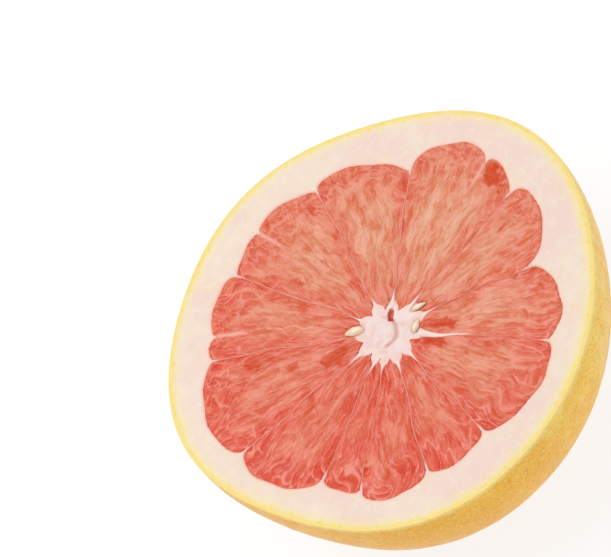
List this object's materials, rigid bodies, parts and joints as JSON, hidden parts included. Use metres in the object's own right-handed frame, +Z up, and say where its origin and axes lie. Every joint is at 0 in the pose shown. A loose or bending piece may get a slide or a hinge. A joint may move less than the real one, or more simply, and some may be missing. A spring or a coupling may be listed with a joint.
{
  "type": "half grapefruit",
  "caption": "Half of a pink grapefruit, cut across its segments, lying cut face up on its rounded skin, with small seeds at the core.",
  "frame": {"origin": "middle of the small flat spot that the fruit rests on, at the bottom of the skin", "axes": "+Z up, square to the cut face, which looks up; +X and +Y lie along the cut face"},
  "size_m": [0.1181, 0.1177, 0.05],
  "materials": {
    "rind": "waxy, finely pitted yellow-orange skin",
    "pith": "matt, spongy, pale cream with a pink tinge",
    "flesh": "wet, pink-orange juice sacs",
    "seed": "smooth, damp, cream"
  },
  "bodies": {
    "root": {"grapefruit_half": "rind", "seed_1": "seed", "seed_2": "seed", "seed_3": "seed"}
  },
  "joints": []
}
